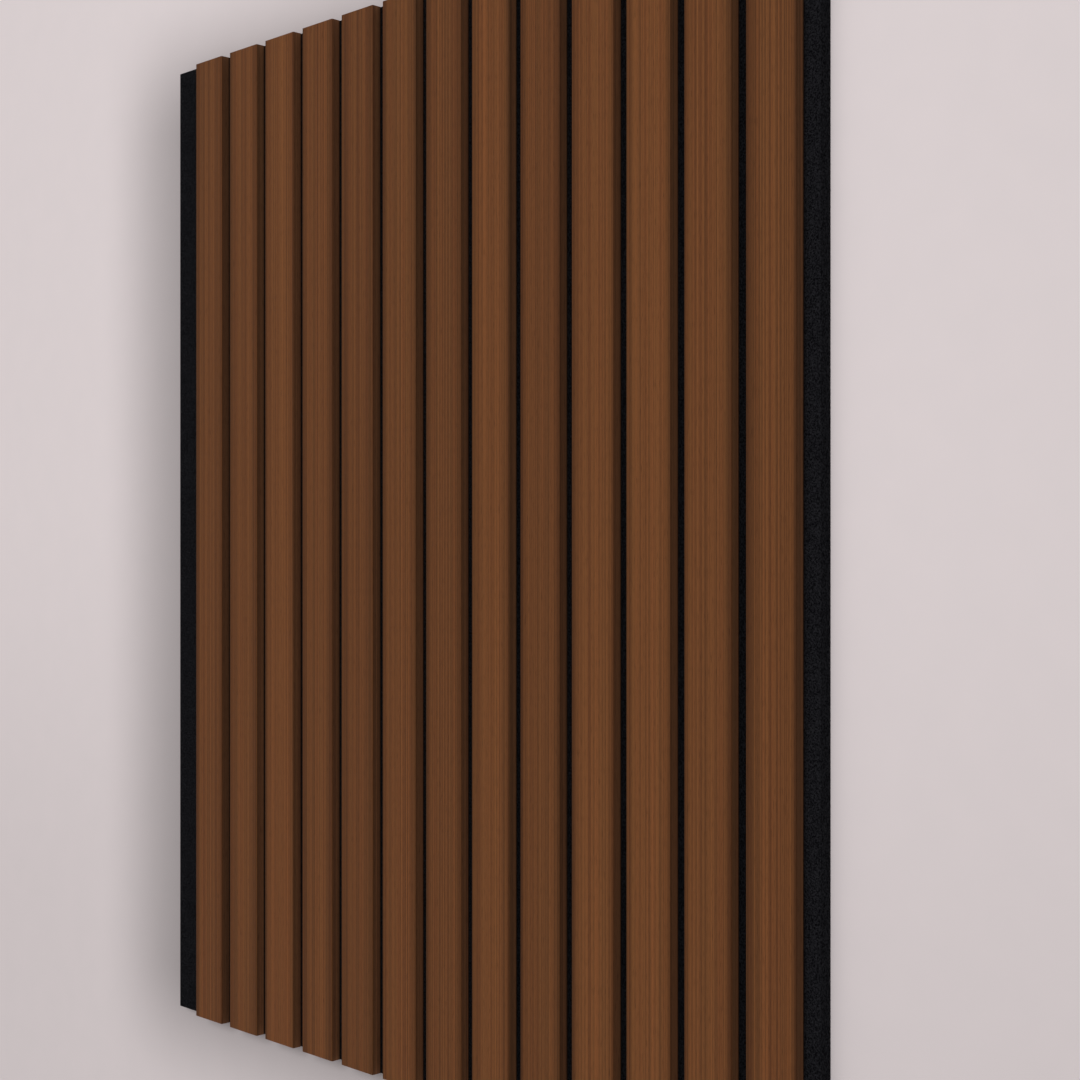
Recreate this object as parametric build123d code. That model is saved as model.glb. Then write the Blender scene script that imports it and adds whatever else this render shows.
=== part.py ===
from build123d import *
import os

# Slat wall panel: veneered slats stapled side by side to a board of pressed felt.
# Millimetres, +Z up. The origin is the centre of the felt's back face, which lies
# against the wall. The slats face -Y and run from bottom to top.

# Slats
slat_count = 13
slat_width = 34.0
slat_thickness = 7.0
slat_gap = 10.0
arris_radius = 1.0

# Felt backing
panel_height = 720.0
felt_thickness = 9.0
left_margin = 32.0
right_margin = 11.0

# Staples, flat wire bent to a square U
staple_rows = 6
staple_end_distance = 60.0
crown_width = 12.8
wire_width = 0.95
wire_thickness = 0.65
bend_chamfer = 0.4
point_length = 1.5
crown_sink = 0.5
leg_bite = 3.5

# Places that follow from the sizes above
slat_pitch = slat_width + slat_gap
slats_span = slat_count * slat_width + (slat_count - 1) * slat_gap
panel_width = left_margin + slats_span + right_margin
first_slat_x = left_margin + slat_width / 2 - panel_width / 2
slat_places = [first_slat_x + i * slat_pitch for i in range(slat_count)]
leg_length = felt_thickness - crown_sink + leg_bite
row_pitch = (panel_height - 2 * staple_end_distance) / (staple_rows - 1)
row_places = [staple_end_distance - panel_height / 2 + i * row_pitch for i in range(staple_rows)]


def staple():
    """One staple on x = 0, z = 0, with its crown just under the felt's back face."""
    outside = crown_width / 2
    inside = outside - wire_thickness
    tip = -leg_length
    outline = Polyline(
        (-outside, 0),
        (outside, 0),
        (outside, tip),
        (inside, tip + point_length),
        (inside, -wire_thickness),
        (-inside, -wire_thickness),
        (-inside, tip + point_length),
        (-outside, tip),
        close=True,
    )
    section = make_face(outline)
    bends = section.vertices().group_by(Axis.Y)[-1]
    section = chamfer(bends, bend_chamfer)
    return Pos(0, -crown_sink, 0) * extrude(section, wire_width / 2, both=True)


def staple_seat():
    """What one staple presses out of the felt: a pocket for its crown and a slit for each leg."""
    back = (Align.CENTER, Align.MAX, Align.CENTER)
    seat = Box(crown_width, crown_sink + wire_thickness, wire_width, align=back)
    leg_x = (crown_width - wire_thickness) / 2
    for x in (-leg_x, leg_x):
        seat += Pos(x, 0, 0) * Box(wire_thickness, felt_thickness, wire_width, align=back)
    return seat


def felt_backing(seat):
    """The board, with a seat for every staple."""
    board = Box(panel_width, felt_thickness, panel_height, align=(Align.CENTER, Align.MAX, Align.CENTER))
    seats = [Pos(x, 0, z) * seat for x in slat_places for z in row_places]
    return board - seats


def slat(fastener):
    """One slat on x = 0, its back on the felt, with eased front arrises and the slits of its staples."""
    blank = Rectangle(slat_width, slat_thickness, align=(Align.CENTER, Align.MAX))
    front_corners = blank.vertices().group_by(Axis.Y)[0]
    section = fillet(front_corners, arris_radius)
    bar = extrude(section, panel_height / 2, both=True)
    return Pos(0, -felt_thickness, 0) * bar - [Pos(0, 0, z) * fastener for z in row_places]


fastener = staple()
one_slat = slat(fastener)

os.makedirs("parts", exist_ok=True)
export_step(felt_backing(staple_seat()), "parts/felt_backing.step")
for number, x in enumerate(slat_places, start=1):
    export_step(Pos(x, 0, 0) * one_slat, f"parts/slat_{number:02d}.step")
staples = Compound(children=[Pos(x, 0, z) * fastener for x in slat_places for z in row_places])
export_step(staples, "parts/staples.step")
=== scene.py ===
import bmesh
import bpy
import math
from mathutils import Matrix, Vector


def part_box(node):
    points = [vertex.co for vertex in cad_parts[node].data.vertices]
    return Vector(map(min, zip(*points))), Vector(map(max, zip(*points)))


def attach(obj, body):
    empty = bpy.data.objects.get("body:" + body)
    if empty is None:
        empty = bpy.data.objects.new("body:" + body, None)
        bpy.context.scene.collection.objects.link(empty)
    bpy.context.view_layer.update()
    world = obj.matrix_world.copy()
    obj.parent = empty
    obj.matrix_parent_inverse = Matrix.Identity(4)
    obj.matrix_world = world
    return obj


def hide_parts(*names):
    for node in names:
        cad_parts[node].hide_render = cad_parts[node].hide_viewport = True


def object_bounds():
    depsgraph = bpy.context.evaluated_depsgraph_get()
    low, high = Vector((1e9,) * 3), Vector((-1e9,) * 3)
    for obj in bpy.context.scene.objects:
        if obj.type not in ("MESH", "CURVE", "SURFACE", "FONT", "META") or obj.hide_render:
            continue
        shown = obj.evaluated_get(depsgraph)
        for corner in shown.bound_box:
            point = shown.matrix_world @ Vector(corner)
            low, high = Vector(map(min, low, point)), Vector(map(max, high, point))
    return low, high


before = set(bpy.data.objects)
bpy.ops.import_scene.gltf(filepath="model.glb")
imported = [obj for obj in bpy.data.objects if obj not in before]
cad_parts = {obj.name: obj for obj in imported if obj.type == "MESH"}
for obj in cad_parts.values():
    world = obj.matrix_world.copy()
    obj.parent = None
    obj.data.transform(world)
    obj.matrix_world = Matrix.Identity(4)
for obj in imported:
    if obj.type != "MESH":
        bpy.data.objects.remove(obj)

cad_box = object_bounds()

# Felt backing board.
# Black polyester fibre, needled and hot-pressed to a stiff sheet and knife-cut to the panel's outline.
# It carries every slat and lies against the wall. Its back dips where the staples are driven in.
felt_low, felt_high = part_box("felt_backing")
felt_edge_ease = 0.0006
staple_low, staple_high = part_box("staples")
staple_rows = 6
slat_names = sorted(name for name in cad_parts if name.startswith("slat_"))
slat_boxes = [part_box(name) for name in slat_names]
slat_middles = [(low.x + high.x) / 2 for low, high in slat_boxes]
crown_reach = staple_high.x - slat_middles[-1]
crown_half_width = 0.0005
row_pitch = (staple_high.z - staple_low.z - 2 * crown_half_width) / (staple_rows - 1)
row_heights = [staple_low.z + crown_half_width + i * row_pitch for i in range(staple_rows)]
dip_depth = 0.0009
dip_reach = 0.0065
dip_cuts_across = (-0.0115, -0.0095, -0.0078, -crown_reach, 0.0, crown_reach, 0.0078, 0.0095, 0.0115)
dip_cuts_along = (-0.006, -0.0042, -0.0026, -0.0012, 0.0, 0.0012, 0.0026, 0.0042, 0.006)
tolerance = 1e-5


def block(name, low, high):
    """A cube shaped to the box between two corners, alone selected, with its place in its mesh."""
    bpy.ops.object.select_all(action="DESELECT")
    bpy.ops.mesh.primitive_cube_add(size=1, location=(low + high) / 2, scale=high - low)
    bpy.ops.object.transform_apply(location=True, rotation=True, scale=True)
    piece = bpy.context.object
    piece.name = name
    return piece


def choose(piece, kind, wanted):
    """Opens a piece for editing with only the vertices, edges or faces selected that are wanted."""
    bpy.context.view_layer.objects.active = piece
    bpy.ops.object.mode_set(mode="EDIT")
    bpy.ops.mesh.select_mode(type=kind)
    bpy.ops.mesh.select_all(action="DESELECT")
    mesh = bmesh.from_edit_mesh(piece.data)
    for element in {"VERT": mesh.verts, "EDGE": mesh.edges, "FACE": mesh.faces}[kind]:
        if wanted(element):
            element.select_set(True)
    mesh.select_flush_mode()
    bmesh.update_edit_mesh(piece.data)


def soften(piece, angle):
    """Leaves editing, shades the rounded edges smoothly and keeps the flat faces flat."""
    bpy.ops.object.mode_set(mode="OBJECT")
    bpy.ops.object.shade_smooth_by_angle(angle=math.radians(angle))
    bpy.ops.object.modifier_add(type="WEIGHTED_NORMAL")
    piece.modifiers[-1].keep_sharp = True
    bpy.ops.object.modifier_apply(modifier=piece.modifiers[-1].name)


def on_back(face):
    """Whether a face looks towards the wall."""
    return face.normal.y > 0.99


def under_crown(vertex):
    """Whether a point of the back lies under the middle line of a staple's crown."""
    x, y, z = vertex.co
    beside = min(abs(x - middle) for middle in slat_middles)
    above = min(abs(z - height) for height in row_heights)
    return y > felt_high.y - tolerance and beside < crown_reach + tolerance and above < crown_half_width


felt = block("felt_board", felt_low, felt_high)
choose(felt, "EDGE", lambda edge: True)
bpy.ops.mesh.bevel(offset=felt_edge_ease, segments=3, affect="EDGES")
for middle in slat_middles:
    for cut in dip_cuts_across:
        choose(felt, "FACE", on_back)
        bpy.ops.mesh.bisect(plane_co=(middle + cut, 0, 0), plane_no=(1, 0, 0))
for height in row_heights:
    for cut in dip_cuts_along:
        choose(felt, "FACE", on_back)
        bpy.ops.mesh.bisect(plane_co=(0, 0, height + cut), plane_no=(0, 0, 1))
choose(felt, "VERT", under_crown)
bpy.ops.transform.translate(
    value=(0, -dip_depth, 0),
    use_proportional_edit=True,
    proportional_edit_falloff="SMOOTH",
    proportional_size=dip_reach,
)
soften(felt, angle=40)


class Field:
    """A value, colour or vector that varies over a surface: one output socket in a material's nodes.
    Sums on fields add Math nodes, and node() adds any other kind."""

    def __init__(self, socket):
        self.socket = socket

    def node(self, kind, settings=None, sockets=None, output=0):
        """Adds a node, sets it up, fills or links its sockets and gives one of its outputs."""
        tree = self.socket.id_data
        made = tree.nodes.new("ShaderNode" + kind)
        for name, value in (settings or {}).items():
            setattr(made, name, value)
        for name, value in (sockets or {}).items():
            connect(made.inputs[name], value)
        return Field(made.outputs[output])

    def beside(self, output):
        """Another output of the same node."""
        return Field(self.socket.node.outputs[output])

    def maths(self, operation, *others):
        """A Math node on this field and up to two others."""
        return self.node("Math", {"operation": operation}, dict(enumerate((self, *others))))

    def __add__(self, other):
        return self.maths("ADD", other)

    __radd__ = __add__

    def __sub__(self, other):
        return self.maths("SUBTRACT", other)

    def __rsub__(self, other):
        return self.node("Math", {"operation": "SUBTRACT"}, {0: other, 1: self})

    def __mul__(self, other):
        return self.maths("MULTIPLY", other)

    __rmul__ = __mul__

    def __truediv__(self, other):
        return self.maths("DIVIDE", other)

    def axes(self):
        """The x, y and z of a vector."""
        parts = self.node("SeparateXYZ", None, {0: self})
        return [parts.beside(axis) for axis in "XYZ"]

    def noise(self, per_metre, detail=2.0, roughness=0.5):
        """Soft noise about 0.5, with so many features to the metre along x, y and z."""
        stretched = self.times(per_metre)
        sockets = {"Vector": stretched, "Scale": 1, "Detail": detail, "Roughness": roughness}
        return self.node("TexNoise", None, sockets)

    def step(self, start, end, low=0.0, high=1.0):
        """Goes smoothly from low to high as the field goes from start to end."""
        sockets = {0: self, 1: start, 2: end, 3: low, 4: high}
        return self.node("MapRange", {"interpolation_type": "SMOOTHSTEP"}, sockets)

    def mix(self, first, second):
        """The first colour where the field is 0 and the second where it is 1."""
        return self.node("Mix", {"data_type": "RGBA"}, {0: self, 6: first, 7: second}, output=2)

    def scaled(self, factor):
        """A colour or vector times a value."""
        return self.node("VectorMath", {"operation": "SCALE"}, {0: self, 3: factor})

    def times(self, other):
        """A colour or vector times another, part by part."""
        return self.node("VectorMath", {"operation": "MULTIPLY"}, {0: self, 1: other})

    def bump(self, strength, distance):
        """The surface's normal, tilted as if this field were its height."""
        return self.node("Bump", None, {"Strength": strength, "Distance": distance, "Height": self})


def connect(socket, value):
    """Links a field to a socket, or sets the socket to a plain value."""
    if isinstance(value, Field):
        socket.id_data.links.new(value.socket, socket)
    else:
        socket.default_value = value


def new_finish(name):
    """A material with one Principled shader, and the place on the object that its patterns read."""
    material = bpy.data.materials.new(name)
    material.use_nodes = True
    shader = Field(material.node_tree.nodes["Principled BSDF"].outputs[0])
    return material, shader.node("TexCoord", output="Object")


def set_shader(material, sockets):
    """Fills or links the sockets of a material's Principled shader."""
    shader = material.node_tree.nodes["Principled BSDF"]
    for name, value in sockets.items():
        connect(shader.inputs[name], value)


def srgb(red, green, blue):
    """A colour written as display values from 0 to 255, as the linear light a shader works in."""
    channels = (c / 255 for c in (red, green, blue))
    return (*(c / 12.92 if c <= 0.04045 else ((c + 0.055) / 1.055) ** 2.4 for c in channels), 1.0)


felt_black, felt_grey = srgb(5, 5, 7), srgb(34, 34, 37)
specks_per_metre, speck_contrast = (900, 900, 900), 3.8
clumps_per_metre, clump_contrast = (160, 160, 160), 0.4
hairs_per_metre, hair_threshold, hair_contrast = (180, 2400, 2400), (0.56, 0.68), 0.55
hair_angles = (0.3, 1.1, 1.9, 2.7)
hair_curls_per_metre = 240
hair_sway = 0.004
felt_tone = 0.25
tone_ends = (-0.2, 1.2)
first_edge, last_edge = slat_boxes[0][0].x, slat_boxes[-1][1].x
first_edge_blur, last_edge_blur = 0.003, 0.002
front_skin = (felt_low.y + 0.003, felt_low.y + 0.0005)
shade_among_slats, shade_left_of_slats = 0.5, 0.24

black_felt, place = new_finish("pressed_black_felt")
x, y, _ = place.axes()
specks = place.noise(specks_per_metre, detail=3, roughness=0.65)
clumps = place.noise(clumps_per_metre)
sway = place.node("TexNoise", None, {"Vector": place, "Scale": hair_curls_per_metre, "Detail": 1}, output=1)
curled = sway.node("VectorMath", {"operation": "MULTIPLY_ADD"}, {0: sway, 1: (hair_sway,) * 3, 2: place})


def hair_layer(angle):
    """Fine hairs that lie at one angle across the board."""
    turned = curled.node("VectorRotate", {"rotation_type": "Y_AXIS"}, {"Vector": curled, "Angle": angle})
    return turned.noise(hairs_per_metre, detail=1).step(*hair_threshold)


hairs, *other_hairs = [hair_layer(angle) for angle in hair_angles]
for layer in other_hairs:
    hairs = hairs.maths("MAXIMUM", layer)
tone = (specks - 0.5) * speck_contrast + (clumps - 0.5) * clump_contrast + hairs * hair_contrast + felt_tone
colour = tone.step(*tone_ends).mix(felt_black, felt_grey)
# Painted shade: the felt's front is darkened between the slats, where the grooves lie in shade, and on the
# margin left of the first slat, as the slats' shadow.
past_first_edge = x.step(first_edge - first_edge_blur, first_edge)
before_last_edge = x.step(last_edge + last_edge_blur, last_edge)
among_slats = past_first_edge * before_last_edge
left_of_slats = x.step(first_edge, first_edge - first_edge_blur)
shade = (among_slats * shade_among_slats + left_of_slats * shade_left_of_slats) * y.step(*front_skin)
relief = specks + hairs * 0.8
set_shader(black_felt, {
    "Base Color": colour.scaled(1 - shade),
    "Roughness": 0.95,
    "Specular IOR Level": 0.015,
    "Normal": relief.bump(strength=0.5, distance=0.0004),
})
felt.data.materials.append(black_felt)
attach(felt, "root")
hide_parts("felt_backing")

# Slats.
# Fibreboard bars wrapped on the face and both sides with straight-grained walnut veneer under a satin
# lacquer. The front arrises are eased and the ends sawn square. Staples hold each one from behind.
slat_low, slat_high = slat_boxes[0]
slat_width = slat_high.x - slat_low.x
slat_pitch = slat_middles[1] - slat_middles[0]
slat_gap = slat_pitch - slat_width
arris_radius = 0.001
sawn_arris = 0.00025
veneer_thickness = 0.0006


def front_arris(edge):
    """Whether an edge runs up the slat between its face and a side."""
    ends = [vertex.co for vertex in edge.verts]
    upright = abs(ends[0].x - ends[1].x) < tolerance
    return upright and all(end.y < slat_low.y + tolerance for end in ends)


def end_outline(edge):
    """Whether an edge goes round one of the slat's sawn ends."""
    ends = [vertex.co for vertex in edge.verts]
    level = abs(ends[0].z - ends[1].z) < tolerance
    return level and all(abs(end.z) > slat_high.z - tolerance for end in ends)


first_slat = block(slat_names[0] + "_veneered", slat_low, slat_high)
choose(first_slat, "EDGE", front_arris)
bpy.ops.mesh.bevel(offset=arris_radius, segments=6, affect="EDGES")
choose(first_slat, "EDGE", end_outline)
bpy.ops.mesh.bevel(offset=sawn_arris, segments=2, affect="EDGES")
soften(first_slat, angle=30)


def find_slat(place):
    """Which slat a point is on, counted from 0, how far across it lies and how deep below its face."""
    x, y, _ = place.axes()
    number = ((x - slat_low.x + slat_gap / 2) / slat_pitch).maths("FLOOR")
    return number, x - number * slat_pitch - slat_low.x, y - slat_low.y


veneer_dark, veneer_pale = srgb(83, 51, 30), srgb(120, 75, 43)
olive_tint, red_tint = (0.98, 1.015, 1.0, 1), (1.025, 0.98, 0.97, 1)
side_painted_light, face_tint = (0.955, 1.10, 1.47, 1), (1, 1, 1, 1)
streaks_per_metre, streak_contrast = (1100, 1100, 0.9), 2.3
bands_per_metre, band_contrast = (190, 190, 0.6), 0.8
leaf_seed, leaf_contrast = 19.44, 0.3
tints_per_metre, tint_contrast = (260, 250, 1.2), 2.4
pores_per_metre, pore_threshold, pore_darkness = (4800, 4800, 130), (0.57, 0.66), 0.3
edge_shade_reach = 0.011
left_edge_shade, right_edge_shade = 0.50, 0.38
face_end = (0.0011, 0.0005)
arris_start, arris_end, arris_shade_strength = (0.0001, 0.0005), (0.0034, 0.0008), 0.26
foot_shade_start, foot_shade_level = (0.0058, 0.0069), 0.2

walnut, place = new_finish("walnut_veneer")
number, across, depth = find_slat(place)
leaf = number.node("TexWhiteNoise", {"noise_dimensions": "1D"}, {"W": number + leaf_seed})
on_face = depth.step(*face_end)
# Painted shade: each face darkens towards both of its edges over its last 11 mm, more on the left, away
# from the key light.
from_left = 1 - (across / edge_shade_reach).maths("MINIMUM", 1.0)
from_right = 1 - ((slat_width - across) / edge_shade_reach).maths("MINIMUM", 1.0)
painted_edge_shade = (from_left * from_left * left_edge_shade + from_right * from_right * right_edge_shade) * on_face
# Painted shade round the arris, from the face's edge into the side, so that the face turns crisply into the
# shaded side.
painted_arris_shade = depth.step(*arris_start) * depth.step(*arris_end) * arris_shade_strength
streaks = place.noise(streaks_per_metre, detail=3, roughness=0.6)
bands = place.noise(bands_per_metre)
tints = place.noise(tints_per_metre)
pores = place.noise(pores_per_metre, detail=1).step(*pore_threshold)
tone = (streaks - 0.5) * streak_contrast + (bands - 0.5) * band_contrast
tone = tone + (leaf - 0.5) * leaf_contrast + 0.5
grain = tone.step(*tone_ends).mix(veneer_dark, veneer_pale)
hue = ((tints - 0.5) * tint_contrast + 0.5).step(0.0, 1.0)
# Painted light: the sides' veneer is tinted cooler and a little lighter than the face, to even out the
# sides' shade and the warm light bounced between the slats.
grain = grain.times(hue.mix(olive_tint, red_tint)).times(on_face.mix(side_painted_light, face_tint))
# Painted shade at the foot of each side, darkest where it meets the felt, as in the corner's shadow. The
# shade below joins it with the painted edge and arris shade and the pores' own dark colour.
painted_foot_shade = depth.step(*foot_shade_start, 1.0, foot_shade_level)
shade = (1 - painted_edge_shade) * (1 - painted_arris_shade) * (1 - pores * pore_darkness) * painted_foot_shade
relief = streaks * 0.5 - pores
set_shader(walnut, {
    "Base Color": grain.scaled(shade),
    "Roughness": 0.55 + (streaks - 0.5) * 0.25,
    "Specular IOR Level": 0.05,
    "Normal": relief.bump(strength=0.3, distance=0.0001),
})

veneer_edge, core_dark, core_pale = srgb(78, 48, 30), srgb(112, 82, 56), srgb(146, 113, 80)
crumbs_per_metre, crumb_ends = (1500, 1500, 1500), (0.3, 0.7)
saw_marks_per_metre = (60, 2200, 60)

fibreboard, place = new_finish("sawn_fibreboard")
_, across, depth = find_slat(place)
to_skin = across.maths("MINIMUM", slat_width - across).maths("MINIMUM", depth)
inside = to_skin.step(veneer_thickness * 0.9, veneer_thickness * 1.1)
crumbs = place.noise(crumbs_per_metre, detail=3, roughness=0.7)
saw_marks = place.noise(saw_marks_per_metre, detail=1)
relief = crumbs + saw_marks * 0.6
set_shader(fibreboard, {
    "Base Color": inside.mix(veneer_edge, crumbs.step(*crumb_ends).mix(core_dark, core_pale)),
    "Roughness": 0.85,
    "Specular IOR Level": 0.2,
    "Normal": relief.bump(strength=0.4, distance=0.0002),
})
first_slat.data.materials.append(walnut)
first_slat.data.materials.append(fibreboard)
for face in first_slat.data.polygons:
    if abs(face.normal.z) > 0.99:
        face.material_index = 1

slats = [first_slat]
for name, middle in zip(slat_names[1:], slat_middles[1:]):
    bpy.ops.object.select_all(action="DESELECT")
    first_slat.select_set(True)
    bpy.context.view_layer.objects.active = first_slat
    bpy.ops.object.duplicate(linked=False)
    slat = bpy.context.object
    slat.name = name + "_veneered"
    slat.location.x = middle - slat_middles[0]
    bpy.ops.object.transform_apply(location=True, rotation=False, scale=False)
    slats.append(slat)
for slat, name in zip(slats, slat_names):
    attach(slat, "root")
    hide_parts(name)

# Staples.
# Flat galvanised wire bent to a square U, driven from the back through the felt into each slat.
# Only the crowns show, pressed into the felt just below its back face.
zinc_dull, zinc_bright = srgb(140, 143, 148), srgb(188, 190, 193)
spangles_per_metre = (900, 900, 900)
scuffs_per_metre = (400, 3000, 6000)
dull_ends = (0.38, 0.62)

zinc, place = new_finish("galvanised_wire")
spangles = place.noise(spangles_per_metre)
scuffs = place.noise(scuffs_per_metre)
worn = (spangles * 0.5 + scuffs * 0.5).step(*dull_ends)
set_shader(zinc, {
    "Base Color": worn.mix(zinc_dull, zinc_bright),
    "Metallic": 1.0,
    "Roughness": 0.36 + (scuffs - 0.5) * 0.5,
    "Normal": scuffs.bump(strength=0.4, distance=0.00004),
})
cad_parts["staples"].material_slots[0].material = zinc

# Wall behind the panel.
# Plain pale paint, with a soft painted shadow to the left of the panel and below it, as if light came from
# the upper right, and painted shade towards the bottom and the right. It fades into the pale room further
# out, and from behind it lets the view through.
paint_dark, paint_pale = srgb(218, 209, 210), srgb(222, 212, 213)
brush_marks_per_metre = (40, 40, 40)
wall_half = 4.0
wall_clearance = 0.0003
fade_reach = (1.0, 3.0)
shade_depth = 0.47
shade_blur = 0.065
shade_left, shade_right = felt_low.x - 0.068, felt_high.x - 0.104
shade_bottom, shade_top = felt_low.z - 0.028, felt_high.z + 0.015
dim_below, dim_below_tone = (0.067, -0.353), 0.90
dim_right, dim_right_tone = (0.2, 0.5), 0.94

bpy.ops.object.select_all(action="DESELECT")
bpy.ops.mesh.primitive_plane_add(
    size=2 * wall_half,
    location=(0, felt_high.y + wall_clearance, 0),
    rotation=(math.radians(90), 0, 0),
)
bpy.ops.object.transform_apply(location=True, rotation=True, scale=True)
wall = bpy.context.object
wall.name = "wall"
wall.visible_shadow = False
wall.visible_diffuse = False
wall.visible_glossy = False

paint, place = new_finish("wall_paint")
x, _, z = place.axes()
# Painted shadow: a soft-edged dark rectangle, offset left and down from the panel.
shade = (
    x.step(shade_left - shade_blur, shade_left + shade_blur)
    * x.step(shade_right + shade_blur, shade_right - shade_blur)
    * z.step(shade_bottom - shade_blur, shade_bottom + shade_blur)
    * z.step(shade_top + shade_blur, shade_top - shade_blur)
)
# Painted shade: the wall darkens towards the bottom and towards the right, where the lamplight falls off.
dim = z.step(*dim_below, 1.0, dim_below_tone) * x.step(*dim_right, 1.0, dim_right_tone)
colour = place.noise(brush_marks_per_metre, detail=3).mix(paint_dark, paint_pale)
colour = colour.scaled(1 - shade * shade_depth).scaled(dim)
set_shader(paint, {"Base Color": colour, "Roughness": 0.9, "Specular IOR Level": 0.1})
painted = Field(paint.node_tree.nodes["Principled BSDF"].outputs[0])
from_behind = painted.node("NewGeometry", output="Backfacing")
far_out = place.node("VectorMath", {"operation": "LENGTH"}, {0: place}, output="Value").step(*fade_reach)
hidden = from_behind.maths("MAXIMUM", far_out)
see_through = painted.node("BsdfTransparent")
surface = painted.node("MixShader", None, {0: hidden, 1: painted, 2: see_through})
connect(paint.node_tree.nodes["Material Output"].inputs["Surface"], surface)
wall.data.materials.append(paint)

# Light.
# An even pale room, a broad soft key from the upper right, and a soft lamp behind for the back.
room_tint, room_strength = (1.0, 0.985, 0.975, 1), 0.5
room_pale = srgb(214, 205, 206)
panel_middle = (cad_box[0] + cad_box[1]) / 2

room = bpy.data.worlds.new("room")
room.use_nodes = True
bpy.context.scene.world = room
room_nodes = room.node_tree.nodes
connect(room_nodes["Background"].inputs["Color"], room_tint)
connect(room_nodes["Background"].inputs["Strength"], room_strength)
ambient = Field(room_nodes["Background"].outputs[0])
pale = ambient.node("Background", None, {"Color": room_pale, "Strength": 1})
to_camera = ambient.node("LightPath", output="Is Camera Ray")
mirrored = to_camera.beside("Is Glossy Ray").maths("MAXIMUM", to_camera.beside("Is Transmission Ray"))
shown = to_camera.maths("MAXIMUM", mirrored)
surroundings = shown.node("MixShader", None, {0: shown, 1: ambient, 2: pale})
connect(room_nodes["World Output"].inputs["Surface"], surroundings)


def soft_lamp(name, location, size, power):
    """A square softbox, turned to face the middle of the panel."""
    data = bpy.data.lights.new(name, "AREA")
    data.size = size
    data.energy = power
    lamp = bpy.data.objects.new(name, data)
    bpy.context.scene.collection.objects.link(lamp)
    lamp.location = location
    lamp.rotation_euler = (panel_middle - lamp.location).to_track_quat("-Z", "Y").to_euler()


soft_lamp("key", location=(1.9, -5.6, 2.2), size=3.2, power=225)
soft_lamp("back_lamp", location=(-1.6, 2.2, 2.4), size=1.6, power=60)

# Camera.
# Level with the panel's middle, to its right, and turned to look along it from a three-quarter angle.
camera_place = (0.857, -0.770, 0)
camera_turn = math.radians(45.15)
sensor_mm, lens_mm = 36, 58.61

bpy.ops.object.camera_add(location=camera_place, rotation=(math.radians(90), 0, camera_turn))
camera = bpy.context.object
camera.data.sensor_width = sensor_mm
camera.data.lens = lens_mm
camera.data.clip_start = 0.01
bpy.context.scene.camera = camera
bpy.context.scene.view_settings.view_transform = "Standard"
